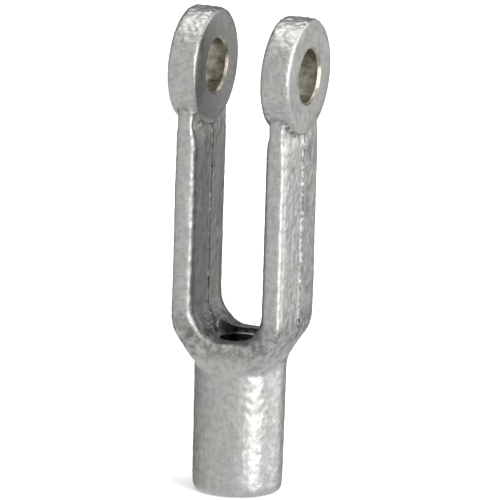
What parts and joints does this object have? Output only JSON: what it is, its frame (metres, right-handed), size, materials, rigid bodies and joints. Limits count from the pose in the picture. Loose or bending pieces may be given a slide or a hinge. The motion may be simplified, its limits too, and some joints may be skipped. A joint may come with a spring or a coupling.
{
  "type": "clevis rod end",
  "caption": "Long forged clevis rod end: a round tapped shank, a sloping shoulder and a deep U-shaped fork whose two eyes take a clevis pin.",
  "frame": {"origin": "centre of the shank's flat end face, where the rod's thread begins and the part stands", "axes": "+Z along the shank's axis from its end face up to the eyes, +X across the fork along the pin's axis, Y = 0 is the forging's parting plane"},
  "size_m": [0.0156, 0.014, 0.0587],
  "materials": {
    "zinc_plated_steel": "bright zinc plate over a forged skin, satin on the machined faces"
  },
  "bodies": {
    "root": {"yoke_forging": "zinc_plated_steel"}
  },
  "joints": []
}
